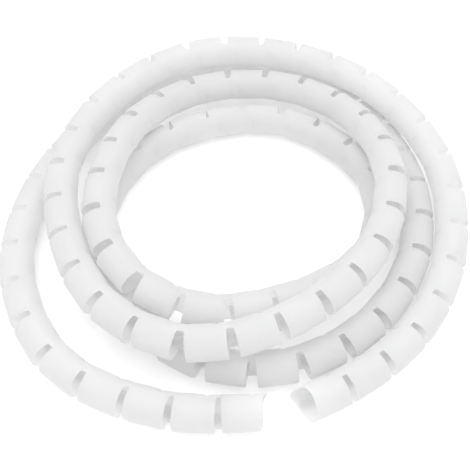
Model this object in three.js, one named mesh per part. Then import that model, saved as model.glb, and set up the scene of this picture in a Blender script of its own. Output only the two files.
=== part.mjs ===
import * as THREE from 'three';

// A length of slotted plastic cable wrap lying in a loose coil of four turns, in millimetres, +Z up.
// The wrap is one moulded strip: a spine runs along its whole length, and bands stand out of the
// spine one after another, each curling round to a tube whose tail tucks in behind the spine.
// The origin is on the floor at the middle of the coil's box, and the coil runs anticlockwise
// seen from above, with the spine on the inside of every turn.

// The strip
const OUTER_DIAMETER = 20;
const WALL = 1.1;
const BAND_PITCH = 24;
const SLOT_WIDTH = 2.5;

// The section, in degrees round the tube: 0 faces the middle of the coil and 90 faces up.
const LIP_ANGLE = -108;
const SPINE_END_ANGLE = 72;
const CURL_END_ANGLE = 216;
const TAIL_END_ANGLE = 324;
const FACET_ANGLE = 36;
const LAP_GAP = 0.4;

// The bend: the spine keeps its length, so the slots open like wedges on the outside of a turn.
// A stiffness of 1 would leave every band straight, and 0 would bend it with the route.
const SPINE_NEUTRAL_DEPTH = 2;
const BAND_STIFFNESS = 0.8;

// The coil
const COIL_RADIUS = 100.3;
const STRAND_GAP = 1;
const STACK_GAP = 0.7;

// The route from the open mouth to the other end: the angle round the coil in degrees, the lane,
// counted in strands outwards from the coil's radius, and the layer, 0 on the floor and 1 on top
// of a strand.
const ROUTE = [
  [-72.7, 1.25, 0], [-60, 1.19, 0], [-40, 1.29, 0], [-15, 1.43, 0.1],
  [15, 1.57, 0.45], [45, 1.41, 0.92], [75, 1.35, 1.06], [105, 1.39, 1.1],
  [135, 1, 1.1], [165, 0.62, 0.97], [195, 0.16, 0.92], [225, 0.07, 0.91],
  [255, -0.09, 0.99], [285, -0.55, 1.1], [315, -0.74, 1.09], [345, -0.55, 0.99],
  [375, -0.2, 1.02], [405, 0.19, 0.74], [435, 0.34, 0.59], [465, 0.33, 0.51],
  [495, -0.26, 0.9], [525, -0.72, 1.1], [555, -0.82, 1.1], [585, -0.96, 0.95],
  [615, -1.25, 0.59], [645, -1.52, 0.41], [675, -1.32, 0.28], [705, -0.77, 0],
  [735, -0.45, 0], [765, -0.58, 0], [795, -0.64, 0], [825, -0.81, 0],
  [855, -0.74, 0], [885, -0.63, 0], [915, -0.5, 0], [945, -0.59, 0],
  [975, -0.16, 0], [1005, 0.13, 0], [1035, 0.27, 0], [1065, 0.45, 0],
  [1095, 0.64, 0], [1125, 1, 0], [1155, 1.79, 0], [1185, 1.86, 0],
  [1215, 1.41, 0], [1245, 1.51, 0], [1275, 1.77, 0], [1305, 1.77, 0],
  [1335, 1.34, 0], [1358, 1.21, 0],
];
const ROUTE_SAMPLES = 4000;

const TUBE_RADIUS = OUTER_DIAMETER / 2;
const NEUTRAL_RADIUS = TUBE_RADIUS - SPINE_NEUTRAL_DEPTH;
const TAIL_RADIUS = TUBE_RADIUS - WALL - LAP_GAP;
const FLOOR_HEIGHT = TUBE_RADIUS * Math.cos(THREE.MathUtils.degToRad(FACET_ANGLE / 2));
const UP = new THREE.Vector3(0, 0, 1);

// The route of the spine's neutral line, which a turn bends about: it lies inside the tube's axis.
function spineRoute() {
  const points = ROUTE.map(([angle, lane, layer]) => {
    const turn = THREE.MathUtils.degToRad(angle);
    const radius = COIL_RADIUS + lane * (OUTER_DIAMETER + STRAND_GAP) - NEUTRAL_RADIUS;
    return new THREE.Vector3(
      radius * Math.cos(turn),
      radius * Math.sin(turn),
      FLOOR_HEIGHT + layer * (OUTER_DIAMETER + STACK_GAP),
    );
  });
  const route = new THREE.CatmullRomCurve3(points);
  route.arcLengthDivisions = ROUTE_SAMPLES;
  return route;
}

// A place on the route at a distance along it, kept from dipping below the floor.
function placeAt(route, length, distance) {
  const point = route.getPointAt(THREE.MathUtils.clamp(distance / length, 0, 1));
  point.z = Math.max(point.z, FLOOR_HEIGHT);
  return point;
}

// The strip's section, as stations round the tube: angle and outer radius.
function sectionStations() {
  const stations = [];
  for (let angle = LIP_ANGLE; angle <= CURL_END_ANGLE; angle += FACET_ANGLE) {
    stations.push([angle, TUBE_RADIUS]);
  }
  for (let angle = CURL_END_ANGLE + FACET_ANGLE; angle <= TAIL_END_ANGLE; angle += FACET_ANGLE) {
    stations.push([angle, TAIL_RADIUS]);
  }
  return stations;
}

// One ring of vertices across the strip: the outer skin's stations, then the inner skin's.
function sectionRing(spinePoint, tangent, stations) {
  const outward = new THREE.Vector3().crossVectors(tangent, UP).normalize();
  const upward = new THREE.Vector3().crossVectors(outward, tangent).normalize();
  const axis = spinePoint.clone().addScaledVector(outward, NEUTRAL_RADIUS);
  const skin = (depth) => stations.map(([angle, radius]) => {
    const turn = THREE.MathUtils.degToRad(angle);
    return axis.clone()
      .addScaledVector(outward, -(radius - depth) * Math.cos(turn))
      .addScaledVector(upward, (radius - depth) * Math.sin(turn));
  });
  return [...skin(0), ...skin(WALL)];
}

// The two end rings of each band. They lean from square to the route towards parallel.
function bandRings(route, stations) {
  const length = route.getLength();
  const bandWidth = BAND_PITCH - SLOT_WIDTH;
  const bandCount = Math.floor((length + SLOT_WIDTH) / BAND_PITCH);
  const rings = [];
  for (let band = 0; band < bandCount; band += 1) {
    const ends = [band * BAND_PITCH, band * BAND_PITCH + bandWidth];
    const [first, last] = ends.map((distance) => placeAt(route, length, distance));
    const chord = last.clone().sub(first).normalize();
    const pair = [first, last].map((point, index) => {
      const tangent = route.getTangentAt(THREE.MathUtils.clamp(ends[index] / length, 0, 1));
      return sectionRing(point, tangent.lerp(chord, BAND_STIFFNESS).normalize(), stations);
    });
    rings.push(pair);
  }
  return rings;
}

// The whole strip as one closed body: every band's walls, its two end faces where the slots are,
// and the stretch of spine that joins it to the next band.
function wrapGeometry() {
  const stations = sectionStations();
  const stationCount = stations.length;
  const spineStations = stations.filter(([angle]) => angle <= SPINE_END_ANGLE).length;
  const rings = bandRings(spineRoute(), stations);
  const positions = [];
  const indices = [];
  const quad = (a, b, c, d) => indices.push(a, b, c, a, c, d);
  const outer = (ring, station) => ring * 2 * stationCount + station;
  const inner = (ring, station) => outer(ring, station) + stationCount;

  // The walls of the strip between two rings, over the stations from 0 to the last one given.
  const addWalls = (ring, nextRing, lastStation) => {
    for (let station = 0; station < lastStation; station += 1) {
      quad(outer(ring, station), outer(ring, station + 1),
        outer(nextRing, station + 1), outer(nextRing, station));
      quad(inner(ring, station), inner(nextRing, station),
        inner(nextRing, station + 1), inner(ring, station + 1));
    }
    quad(outer(ring, 0), outer(nextRing, 0), inner(nextRing, 0), inner(ring, 0));
    quad(outer(ring, lastStation), inner(ring, lastStation),
      inner(nextRing, lastStation), outer(nextRing, lastStation));
  };

  // The strip's cut face at a ring, over the stations given, facing back or forwards.
  const addFace = (ring, firstStation, facesBack) => {
    for (let station = firstStation; station < stationCount - 1; station += 1) {
      const corners = [outer(ring, station), inner(ring, station),
        inner(ring, station + 1), outer(ring, station + 1)];
      quad(...(facesBack ? corners : corners.reverse()));
    }
  };

  rings.forEach((pair, band) => {
    const start = 2 * band;
    const isFirst = band === 0;
    const isLast = band === rings.length - 1;
    pair.flat().forEach((point) => positions.push(point.x, point.y, point.z));
    addWalls(start, start + 1, stationCount - 1);
    addFace(start, isFirst ? 0 : spineStations - 1, true);
    addFace(start + 1, isLast ? 0 : spineStations - 1, false);
    if (!isLast) {
      addWalls(start + 1, start + 2, spineStations - 1);
    }
  });

  const geometry = new THREE.BufferGeometry();
  geometry.setAttribute('position', new THREE.Float32BufferAttribute(positions, 3));
  geometry.setIndex(indices);
  return geometry;
}

// Moves the strip so that the middle of its box's underside is the origin.
function standOnOrigin(geometry) {
  geometry.computeBoundingBox();
  const middle = geometry.boundingBox.getCenter(new THREE.Vector3());
  geometry.translate(-middle.x, -middle.y, -geometry.boundingBox.min.z);
  geometry.computeVertexNormals();
  return geometry;
}

function spiralWrap() {
  const material = new THREE.MeshStandardMaterial({ color: 0xe9eaea, roughness: 0.45, metalness: 0 });
  const mesh = new THREE.Mesh(standOnOrigin(wrapGeometry()), material);
  mesh.name = 'spiral_wrap';
  return mesh;
}

const cableWrap = new THREE.Group();
cableWrap.add(spiralWrap());

export default cableWrap;
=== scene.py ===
import math

import bpy
import numpy as np
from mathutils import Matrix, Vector


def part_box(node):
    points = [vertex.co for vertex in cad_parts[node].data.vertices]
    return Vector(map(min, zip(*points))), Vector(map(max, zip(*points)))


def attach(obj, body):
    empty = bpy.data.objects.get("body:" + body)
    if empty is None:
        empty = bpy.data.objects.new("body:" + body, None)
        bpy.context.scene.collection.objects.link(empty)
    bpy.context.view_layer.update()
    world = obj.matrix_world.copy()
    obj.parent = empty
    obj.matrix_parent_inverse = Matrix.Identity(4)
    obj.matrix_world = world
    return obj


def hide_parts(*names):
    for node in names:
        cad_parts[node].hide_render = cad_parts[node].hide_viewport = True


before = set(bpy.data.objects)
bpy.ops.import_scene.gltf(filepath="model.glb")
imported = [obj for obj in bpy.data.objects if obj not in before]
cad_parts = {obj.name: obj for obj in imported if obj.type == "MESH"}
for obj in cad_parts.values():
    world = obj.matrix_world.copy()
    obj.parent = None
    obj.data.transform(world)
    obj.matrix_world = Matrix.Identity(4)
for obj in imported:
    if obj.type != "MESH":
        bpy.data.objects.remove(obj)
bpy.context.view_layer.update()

# A loose coil of white slotted cable wrap on a pale floor. Sizes are in metres, angles in degrees.
NODE = "spiral_wrap"
MM = 0.001
UP = (0, 0, 1)

# The strip
OUTER_DIAMETER = 20 * MM
WALL = 1.1 * MM
BAND_PITCH = 24 * MM
SLOT_WIDTH = 2.5 * MM
BAND_WIDTH = BAND_PITCH - SLOT_WIDTH
TUBE_RADIUS = OUTER_DIAMETER / 2
LAP_GAP = 0.4 * MM
SPINE_NEUTRAL_DEPTH = 2 * MM
NEUTRAL_RADIUS = TUBE_RADIUS - SPINE_NEUTRAL_DEPTH
BAND_STIFFNESS = 0.8

# The section round the tube: 0 faces the middle of the coil and 90 faces up.
LIP_ANGLE = -88
SPINE_END_ANGLE = 72
CURL_END_ANGLE = 222
LAP_START_ANGLE = 250
TAIL_END_ANGLE = 324

# The stations round the section: the usual step, and the closer ones, counted from the lip or the
# tail and from the end of the slot
STATION_STEP = 10.5
EDGE_STATIONS = (0, 1.0, 2.6, 5.0)
SLOT_END_STATIONS = (-3, 0, 1.6, 4.2, 8)

# The coil's route, as in part.mjs: angle round the coil, lane outwards in strands, and layer above
# the floor. A fitting program worked out the lanes and layers from places marked in the photograph.
COIL_RADIUS = 100.3 * MM
STRAND_GAP = 1 * MM
STACK_GAP = 0.7 * MM
ROUTE = [
    (-72.7, 1.25, 0), (-60, 1.19, 0), (-40, 1.29, 0), (-15, 1.43, 0.1),
    (15, 1.57, 0.45), (45, 1.41, 0.92), (75, 1.35, 1.06), (105, 1.39, 1.1),
    (135, 1, 1.1), (165, 0.62, 0.97), (195, 0.16, 0.92), (225, 0.07, 0.91),
    (255, -0.09, 0.99), (285, -0.55, 1.1), (315, -0.74, 1.09), (345, -0.55, 0.99),
    (375, -0.2, 1.02), (405, 0.19, 0.74), (435, 0.34, 0.59), (465, 0.33, 0.51),
    (495, -0.26, 0.9), (525, -0.72, 1.1), (555, -0.82, 1.1), (585, -0.96, 0.95),
    (615, -1.25, 0.59), (645, -1.52, 0.41), (675, -1.32, 0.28), (705, -0.77, 0),
    (735, -0.45, 0), (765, -0.58, 0), (795, -0.64, 0), (825, -0.81, 0),
    (855, -0.74, 0), (885, -0.63, 0), (915, -0.5, 0), (945, -0.59, 0),
    (975, -0.16, 0), (1005, 0.13, 0), (1035, 0.27, 0), (1065, 0.45, 0),
    (1095, 0.64, 0), (1125, 1, 0), (1155, 1.79, 0), (1185, 1.86, 0),
    (1215, 1.41, 0), (1245, 1.51, 0), (1275, 1.77, 0), (1305, 1.77, 0),
    (1335, 1.34, 0), (1358, 1.21, 0),
]
SAMPLES_PER_ROW = 80
TANGENT_REACH = 1.5 * MM

# Edges and mould line
EDGE_BEVEL = 0.28 * MM
EDGE_BEVEL_DEPTH = 0.6 * EDGE_BEVEL
SLOT_CORNER = 1.0 * MM
THINNEST_EDGE = 0.3
MOULD_LINE_ANGLE = 58
MOULD_LINE_SPREAD = 2.5
MOULD_LINE_DEPTH = 0.16 * MM
SMOOTH_UP_TO_ANGLE = 38

# The dent in the spine, at its place in the band. Its angle is the tube's, and the strip's twist
# at the far end leaves it where it is.
CREASE_BEFORE_SLOT = 0.22
CREASE_PLACE = BAND_PITCH * (1 - CREASE_BEFORE_SLOT) - SLOT_WIDTH
CREASE_DEPTH = 1.2 * MM
CREASE_LENGTH = 1.4 * MM
CREASE_ANGLE = 20
CREASE_SPREAD = 24

# The rings along each band
MIDDLE_RING_SHARE = 0.32
CREASE_RING_STEP = 1.8 * MM
BAND_PLACES = (
    0, EDGE_BEVEL, MIDDLE_RING_SHARE * BAND_WIDTH,
    CREASE_PLACE - CREASE_RING_STEP, CREASE_PLACE, CREASE_PLACE + CREASE_RING_STEP,
    BAND_WIDTH - EDGE_BEVEL, BAND_WIDTH,
)

# The cuts at the two ends
MOUTH_TONGUE = 4.4 * MM
MOUTH_TONGUE_ANGLE = -18
MOUTH_LEAN = 2.8 * MM
FAR_END_TONGUE = 2.3 * MM
FAR_END_TONGUE_ANGLE = 44
FAR_END_LEAN = 1.4 * MM
FAR_END_LEAN_ANGLES = (110, 200)
TONGUE_SPREAD = 32
FAR_END_TWIST = -38
FAR_END_TWIST_LENGTH = 110 * MM

# Differences from band to band, which grow round the section between the two angles
BAND_VARIATION = 0.018
BAND_VARIATION_ANGLES = (80, 200)
BAND_SKEW = 0.35 * MM
BAND_SKEW_ANGLES = (SPINE_END_ANGLE, 200)
RANDOM_SEED = 7

# Looks
LIGHT_THROUGH_WALL = 0.68
FLOOR_HALF_SIZE = 3.0
WORLD_STRENGTH = 0.8
SOFT_TOP_PLACE = (0.06, 0.16, 1.25)
SOFT_TOP_SIZE = 1.7
SOFT_TOP_WATTS = 9

# The camera, in the route's frame
CAMERA_ELEVATION = 54.07
CAMERA_DISTANCE = 463.1 * MM
CAMERA_AIM = (20.8 * MM, 14.8 * MM, 0)
CAMERA_CLIP_START = 0.01
IMAGE_SIZE = 470
FOCAL_PIXELS = 711
AIM_PIXEL = (273, 208.2)
SENSOR_WIDTH = 36


def unit(vectors):
    return vectors / np.linalg.norm(vectors, axis=-1, keepdims=True)


def smooth_step(value, low, high):
    share = np.clip((value - low) / (high - low), 0, 1)
    return share * share * (3 - 2 * share)


def bump_at(value, centre, spread):
    return np.exp(-((value - centre) / spread) ** 2)


def spline(points, samples):
    """A centripetal Catmull-Rom curve through the points, sampled between each pair."""
    first = 2 * points[0] - points[1]
    last = 2 * points[-1] - points[-2]
    knots = np.vstack([first, points, last])
    spans = np.linalg.norm(np.diff(knots, axis=0), axis=1) ** 0.5
    share = np.linspace(0, 1, samples, endpoint=False)[:, None]
    curve = []
    for i in range(1, len(knots) - 2):
        before, start, end, after = knots[i - 1:i + 3]
        span_before, span, span_after = spans[i - 1:i + 2]
        leave = (start - before) / span_before - (end - before) / (span_before + span)
        leave = (leave + (end - start) / span) * span
        arrive = (end - start) / span - (after - start) / (span + span_after)
        arrive = (arrive + (after - end) / span_after) * span
        curve.append(start + leave * share
                     + (3 * (end - start) - 2 * leave - arrive) * share ** 2
                     + (2 * (start - end) + leave + arrive) * share ** 3)
    curve.append(points[-1:])
    return np.vstack(curve)


def spine_route():
    """The line that the spine bends about, sampled finely, with its running length."""
    angle, lane, layer = np.array(ROUTE, float).T
    turn = np.radians(angle)
    radius = COIL_RADIUS + lane * (OUTER_DIAMETER + STRAND_GAP) - NEUTRAL_RADIUS
    height = TUBE_RADIUS + layer * (OUTER_DIAMETER + STACK_GAP)
    points = np.column_stack([radius * np.cos(turn), radius * np.sin(turn), height])
    line = spline(points, SAMPLES_PER_ROW)
    line[:, 2] = np.maximum(line[:, 2], TUBE_RADIUS)
    running = np.r_[0, np.cumsum(np.linalg.norm(np.diff(line, axis=0), axis=1))]
    return line, running


def along(line, running, distances):
    """Points of the line at distances along it, held at its ends."""
    inside = np.clip(np.asarray(distances, float), 0, running[-1])
    return np.column_stack([np.interp(inside, running, line[:, k]) for k in range(3)])


def route_tangent(line, running, distances):
    ahead = along(line, running, np.asarray(distances) + TANGENT_REACH)
    behind = along(line, running, np.asarray(distances) - TANGENT_REACH)
    return unit(ahead - behind)


def between(low, high):
    """Evenly spaced angles between two others, about a station's step apart."""
    count = max(1, round((high - low) / STATION_STEP))
    return list(np.linspace(low, high, count + 1)[1:-1])


def section_stations():
    """The angles round the strip where it has vertices, closer at its edges and the slot's end."""
    lip = [LIP_ANGLE + angle for angle in EDGE_STATIONS]
    slot_end = [SPINE_END_ANGLE + angle for angle in SLOT_END_STATIONS]
    tail = [TAIL_END_ANGLE - angle for angle in reversed(EDGE_STATIONS)]
    lap = [CURL_END_ANGLE, *between(CURL_END_ANGLE, LAP_START_ANGLE), LAP_START_ANGLE]
    angles = [
        *lip, *between(lip[-1], slot_end[0]), *slot_end, *between(slot_end[-1], CURL_END_ANGLE),
        *lap, *between(LAP_START_ANGLE, tail[0]), *tail,
    ]
    return np.array(angles, float)


def skin_radii(angles):
    """Outer and inner radius at each station: the wall thins to a round edge at lip and tail."""
    middle = TUBE_RADIUS - WALL / 2
    tuck = smooth_step(angles, CURL_END_ANGLE, LAP_START_ANGLE) * (WALL + LAP_GAP)
    from_edge = np.radians(np.minimum(angles - LIP_ANGLE, TAIL_END_ANGLE - angles)) * TUBE_RADIUS
    inset = np.clip(1 - from_edge / (WALL / 2), 0, 1)
    thickness = WALL * np.maximum(np.sqrt(1 - inset ** 2), THINNEST_EDGE)
    mould_line = MOULD_LINE_DEPTH * bump_at(angles, MOULD_LINE_ANGLE, MOULD_LINE_SPREAD)
    return middle - tuck + thickness / 2 - mould_line, middle - tuck - thickness / 2


def slot_corner_reach(angles):
    """How far a band's end reaches into the slot, so that the slot ends in a round corner."""
    depth = np.clip(np.radians(angles - SPINE_END_ANGLE) * TUBE_RADIUS, 0, SLOT_CORNER)
    reach = SLOT_CORNER - np.sqrt(SLOT_CORNER ** 2 - (SLOT_CORNER - depth) ** 2)
    return np.where(angles < SPINE_END_ANGLE, 0, reach)


def crease(tube_angles, place):
    """The shallow dent that each bend leaves in the spine, a little before the slot."""
    round_the_tube = bump_at(tube_angles, CREASE_ANGLE, CREASE_SPREAD)
    return CREASE_DEPTH * round_the_tube * bump_at(place, CREASE_PLACE, CREASE_LENGTH)


def mouth_cut(angles):
    """How far the mouth's end runs past a square cut: a tongue on the spine, and a lean."""
    tongue = MOUTH_TONGUE * bump_at(angles, MOUTH_TONGUE_ANGLE, TONGUE_SPREAD)
    return tongue - MOUTH_LEAN * np.sin(np.radians(angles))


def far_end_cut(angles):
    """How far the other end runs past a square cut: a tongue on the spine, and a lean."""
    tongue = FAR_END_TONGUE * bump_at(angles, FAR_END_TONGUE_ANGLE, TONGUE_SPREAD)
    return tongue - FAR_END_LEAN * smooth_step(angles, *FAR_END_LEAN_ANGLES)


def ring_frame(line, running, start, place):
    """The tube's axis at a place in a band and the ring's three directions, with the band stiff."""
    share = place / BAND_WIDTH
    ends = along(line, running, [start, start + BAND_WIDTH])
    chord = unit(ends[1] - ends[0])
    on_route = along(line, running, [start + place])[0]
    on_chord = ends[0] + (ends[1] - ends[0]) * share
    base = on_route + (on_chord - on_route) * BAND_STIFFNESS
    tangent = route_tangent(line, running, [start + place])[0]
    tangent = unit(tangent + (chord - tangent) * BAND_STIFFNESS)
    outward = unit(np.cross(tangent, UP))
    upward = unit(np.cross(outward, tangent))
    return base + outward * NEUTRAL_RADIUS, tangent, outward, upward


def ring_shift(angles, place, skew, lean, is_first, is_last):
    """How far each station of a ring lies along the strip from where a square ring has it."""
    share = place / BAND_WIDTH
    shift = BAND_SKEW * smooth_step(angles, *BAND_SKEW_ANGLES) * (skew + lean * (2 * share - 1))
    if place in BAND_PLACES[:2]:
        shift = shift - slot_corner_reach(angles)
        if is_first:
            shift = shift - mouth_cut(angles)
    if place in BAND_PLACES[-2:]:
        shift = shift + slot_corner_reach(angles)
        if is_last:
            shift = shift + far_end_cut(angles)
    return shift


def strip_vertices(line, running, bands, angles):
    """Every ring's vertices, the outer skin's first, and their places along and round the strip."""
    outer_radius, inner_radius = skin_radii(angles)
    bevel = np.where(angles <= SPINE_END_ANGLE, 0, EDGE_BEVEL_DEPTH)
    loose = BAND_VARIATION * smooth_step(angles, *BAND_VARIATION_ANGLES)
    draws = np.random.default_rng(RANDOM_SEED).uniform(-1, 1, (bands, 3))
    vertices, coordinates = [], []
    for band, (width_draw, skew, lean) in enumerate(draws):
        start = band * BAND_PITCH
        loosen = 1 + loose * (width_draw - 1) / 2
        for place in BAND_PLACES:
            axis, tangent, outward, upward = ring_frame(line, running, start, place)
            to_far_end = bands * BAND_PITCH - start - place
            twist = FAR_END_TWIST * (1 - smooth_step(to_far_end, 0, FAR_END_TWIST_LENGTH))
            turn = np.radians(angles + twist)
            shift = ring_shift(angles, place, skew, lean, band == 0, band == bands - 1)
            dent = crease(angles + twist, place)
            at_cut = place in (BAND_PLACES[0], BAND_PLACES[-1])
            for radius, side in ((outer_radius, 1), (inner_radius, -1)):
                reach = (radius - side * bevel * at_cut) * loosen - dent
                vertices.append(axis - outward * (reach * np.cos(turn))[:, None]
                                + upward * (reach * np.sin(turn))[:, None]
                                + tangent * shift[:, None])
                coordinates.append(np.column_stack([start + place + shift, turn * TUBE_RADIUS]))
    return np.vstack(vertices), np.vstack(coordinates)


def wall_faces(first, second, count, last):
    """Both skins and both edges between two rings, over the stations from 0 to the last one given."""
    faces = []
    first_inner, second_inner = first + count, second + count
    for k in range(last):
        faces.append((first + k, first + k + 1, second + k + 1, second + k))
        faces.append((first_inner + k, second_inner + k, second_inner + k + 1, first_inner + k + 1))
    faces.append((first, second, second_inner, first_inner))
    faces.append((first + last, first_inner + last, second_inner + last, second + last))
    return faces


def cut_faces(ring, count, low, faces_back):
    """The strip's cut face at a ring, from a station to the tail."""
    faces = []
    for k in range(low, count - 1):
        corners = (ring + k, ring + count + k, ring + count + k + 1, ring + k + 1)
        faces.append(corners if faces_back else corners[::-1])
    return faces


def strip_faces(bands, angles):
    """Every band's walls and its cut faces, and the spine between each band and the next."""
    count = len(angles)
    spine_last = int((angles <= SPINE_END_ANGLE).sum()) - 1
    ring_size = 2 * count
    faces = []
    for band in range(bands):
        is_last = band == bands - 1
        rings = [ring_size * (band * len(BAND_PLACES) + i) for i in range(len(BAND_PLACES))]
        for first, second in zip(rings, rings[1:]):
            faces += wall_faces(first, second, count, count - 1)
        faces += cut_faces(rings[0], count, 0 if band == 0 else spine_last, True)
        if not is_last:
            faces += wall_faces(rings[-1], rings[-1] + ring_size, count, spine_last)
        faces += cut_faces(rings[-1], count, 0 if is_last else spine_last, False)
    return faces


def noise(nodes, links, vector, scale, detail):
    texture = nodes.new("ShaderNodeTexNoise")
    texture.inputs["Scale"].default_value = scale
    texture.inputs["Detail"].default_value = detail
    links.new(vector, texture.inputs["Vector"])
    return texture.outputs["Fac"]


def surface_bump(nodes, links, place):
    """Faint draw lines along the strip, with a fine grain over them."""
    strip = nodes.new("ShaderNodeUVMap")
    strip.uv_map = "strip"
    stretch = nodes.new("ShaderNodeMapping")
    stretch.inputs["Scale"].default_value = (60, 2600, 1)
    links.new(strip.outputs["UV"], stretch.inputs["Vector"])
    draw_lines = noise(nodes, links, stretch.outputs["Vector"], 1, 3)
    grain = noise(nodes, links, place, 1400, 2)
    blend = nodes.new("ShaderNodeMix")
    blend.inputs["Factor"].default_value = 0.45
    links.new(draw_lines, blend.inputs["A"])
    links.new(grain, blend.inputs["B"])
    bump = nodes.new("ShaderNodeBump")
    bump.inputs["Strength"].default_value = 0.22
    bump.inputs["Distance"].default_value = 0.12 * MM
    links.new(blend.outputs["Result"], bump.inputs["Height"])
    return bump.outputs["Normal"]


def white_plastic():
    """Satin polyethylene: light soaks through the thin wall, over faint mottling and draw lines."""
    material = bpy.data.materials.new("white_plastic_satin")
    material.use_nodes = True
    nodes, links = material.node_tree.nodes, material.node_tree.links
    shader = nodes["Principled BSDF"]
    shader.inputs["IOR"].default_value = 1.51
    shader.inputs["Specular IOR Level"].default_value = 0.35
    place = nodes.new("ShaderNodeTexCoord").outputs["Object"]
    mottle = noise(nodes, links, place, 45, 4)

    tint = nodes.new("ShaderNodeValToRGB")
    tint.color_ramp.elements[0].position = 0.35
    tint.color_ramp.elements[0].color = (0.957, 0.957, 0.957, 1)
    tint.color_ramp.elements[1].position = 0.65
    tint.color_ramp.elements[1].color = (0.973, 0.973, 0.974, 1)
    links.new(mottle, tint.inputs["Fac"])
    links.new(tint.outputs["Color"], shader.inputs["Base Color"])

    roughness = nodes.new("ShaderNodeMapRange")
    roughness.inputs["To Min"].default_value = 0.36
    roughness.inputs["To Max"].default_value = 0.5
    links.new(mottle, roughness.inputs["Value"])
    links.new(roughness.outputs["Result"], shader.inputs["Roughness"])

    wall_light = nodes.new("ShaderNodeBsdfTranslucent")
    links.new(tint.outputs["Color"], wall_light.inputs["Color"])
    through = nodes.new("ShaderNodeMixShader")
    through.inputs["Fac"].default_value = LIGHT_THROUGH_WALL
    links.new(shader.outputs["BSDF"], through.inputs[1])
    links.new(wall_light.outputs["BSDF"], through.inputs[2])
    links.new(through.outputs["Shader"], nodes["Material Output"].inputs["Surface"])

    normal = surface_bump(nodes, links, place)
    links.new(normal, shader.inputs["Normal"])
    links.new(normal, wall_light.inputs["Normal"])
    return material


def skin_mesh(points, coordinates, faces):
    """The skin as a mesh, with the strip's own coordinates as its UV map."""
    mesh = bpy.data.meshes.new(NODE + "_skin")
    mesh.from_pydata(points.tolist(), [], faces)
    mesh.validate()
    layer = mesh.uv_layers.new(name="strip")
    corners = np.empty(len(mesh.loops), dtype=np.int32)
    mesh.loops.foreach_get("vertex_index", corners)
    layer.data.foreach_set("uv", coordinates[corners].astype(np.float32).ravel())
    mesh.polygons.foreach_set("use_smooth", np.ones(len(mesh.polygons), dtype=bool))
    mesh.set_sharp_from_angle(angle=math.radians(SMOOTH_UP_TO_ANGLE))
    mesh.materials.append(white_plastic())
    return mesh


def build_wrap():
    """The wrap, set where the CAD's box is. Gives back how far it was moved."""
    line, running = spine_route()
    bands = int((running[-1] + SLOT_WIDTH) / BAND_PITCH)
    angles = section_stations()
    points, coordinates = strip_vertices(line, running, bands, angles)
    low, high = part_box(NODE)
    middle = (points.min(0) + points.max(0)) / 2
    offset = np.array([(low.x + high.x) / 2 - middle[0], (low.y + high.y) / 2 - middle[1], low.z])
    mesh = skin_mesh(points + offset, coordinates, strip_faces(bands, angles))
    wrap = bpy.data.objects.new(NODE + "_skin", mesh)
    bpy.context.scene.collection.objects.link(wrap)
    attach(wrap, "root")
    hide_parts(NODE)
    return offset


def build_floor():
    """White paper that gives a little light of its own, as a light table does."""
    size = FLOOR_HALF_SIZE
    mesh = bpy.data.meshes.new("floor")
    mesh.from_pydata([(-size, -size, 0), (size, -size, 0), (size, size, 0), (-size, size, 0)],
                     [], [(0, 1, 2, 3)])
    floor = bpy.data.objects.new("floor", mesh)
    bpy.context.scene.collection.objects.link(floor)
    material = bpy.data.materials.new("floor_paper")
    material.use_nodes = True
    shader = material.node_tree.nodes["Principled BSDF"]
    shader.inputs["Base Color"].default_value = (0.95, 0.95, 0.95, 1)
    shader.inputs["Roughness"].default_value = 0.9
    shader.inputs["Emission Color"].default_value = (1, 1, 1, 1)
    shader.inputs["Emission Strength"].default_value = 0.2
    mesh.materials.append(material)


def build_light():
    """A white surround, and one soft light above that faces the middle of the coil."""
    world = bpy.data.worlds.new("studio")
    world.use_nodes = True
    background = world.node_tree.nodes["Background"]
    background.inputs["Color"].default_value = (1, 1, 1, 1)
    background.inputs["Strength"].default_value = WORLD_STRENGTH
    bpy.context.scene.world = world
    lamp = bpy.data.lights.new("soft_top", "AREA")
    lamp.shape = "DISK"
    lamp.size = SOFT_TOP_SIZE
    lamp.energy = SOFT_TOP_WATTS
    light = bpy.data.objects.new("soft_top", lamp)
    light.location = SOFT_TOP_PLACE
    light.rotation_euler = (-Vector(SOFT_TOP_PLACE)).to_track_quat("-Z", "Y").to_euler()
    bpy.context.scene.collection.objects.link(light)
    bpy.context.scene.view_settings.view_transform = "Standard"


def build_camera(offset):
    """The photograph's camera. The route's frame is moved by the offset."""
    elevation = math.radians(CAMERA_ELEVATION)
    aim = Vector(CAMERA_AIM) + Vector(offset)
    away = Vector((0, -math.cos(elevation), math.sin(elevation)))
    data = bpy.data.cameras.new("camera")
    data.sensor_width = SENSOR_WIDTH
    data.lens = SENSOR_WIDTH * FOCAL_PIXELS / IMAGE_SIZE
    data.shift_x = 0.5 - AIM_PIXEL[0] / IMAGE_SIZE
    data.shift_y = AIM_PIXEL[1] / IMAGE_SIZE - 0.5
    data.clip_start = CAMERA_CLIP_START
    camera = bpy.data.objects.new("camera", data)
    camera.location = aim + away * CAMERA_DISTANCE
    camera.rotation_euler = (-away).to_track_quat("-Z", "Y").to_euler()
    bpy.context.scene.collection.objects.link(camera)
    bpy.context.scene.camera = camera


wrap_offset = build_wrap()
build_camera(wrap_offset * (1, 1, 0))
build_floor()
build_light()
